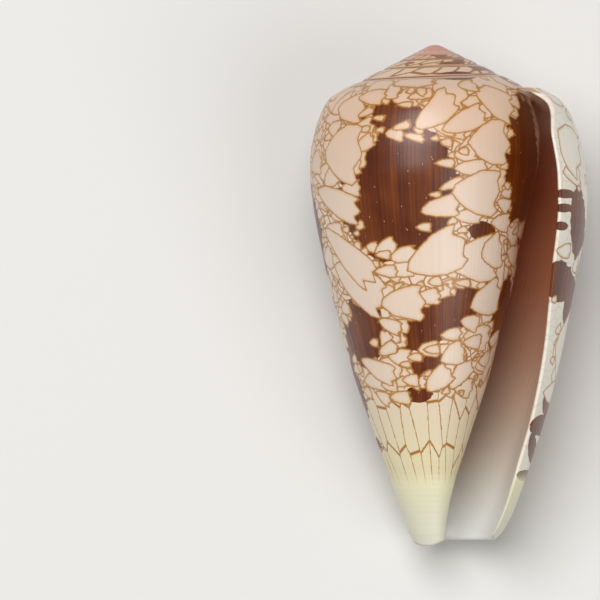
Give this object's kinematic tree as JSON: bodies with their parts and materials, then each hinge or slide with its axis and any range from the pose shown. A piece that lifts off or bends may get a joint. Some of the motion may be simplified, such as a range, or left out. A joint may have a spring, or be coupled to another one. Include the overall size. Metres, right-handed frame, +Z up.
{
  "type": "cone shell",
  "caption": "Tapering coiled seashell with a low stepped spire and a long narrow mouth.",
  "frame": {"origin": "on the ground below the middle of the shell's bounding box, as it lies on its back", "axes": "+Z up, with the mouth up; +Y towards the spire, over the ground; +X towards the outer lip"},
  "size_m": [0.0276, 0.0494, 0.026],
  "materials": {
    "shell": "semi-gloss, cream with brown blotches and fine golden lines"
  },
  "bodies": {
    "root": {"shell": "shell"}
  },
  "joints": []
}
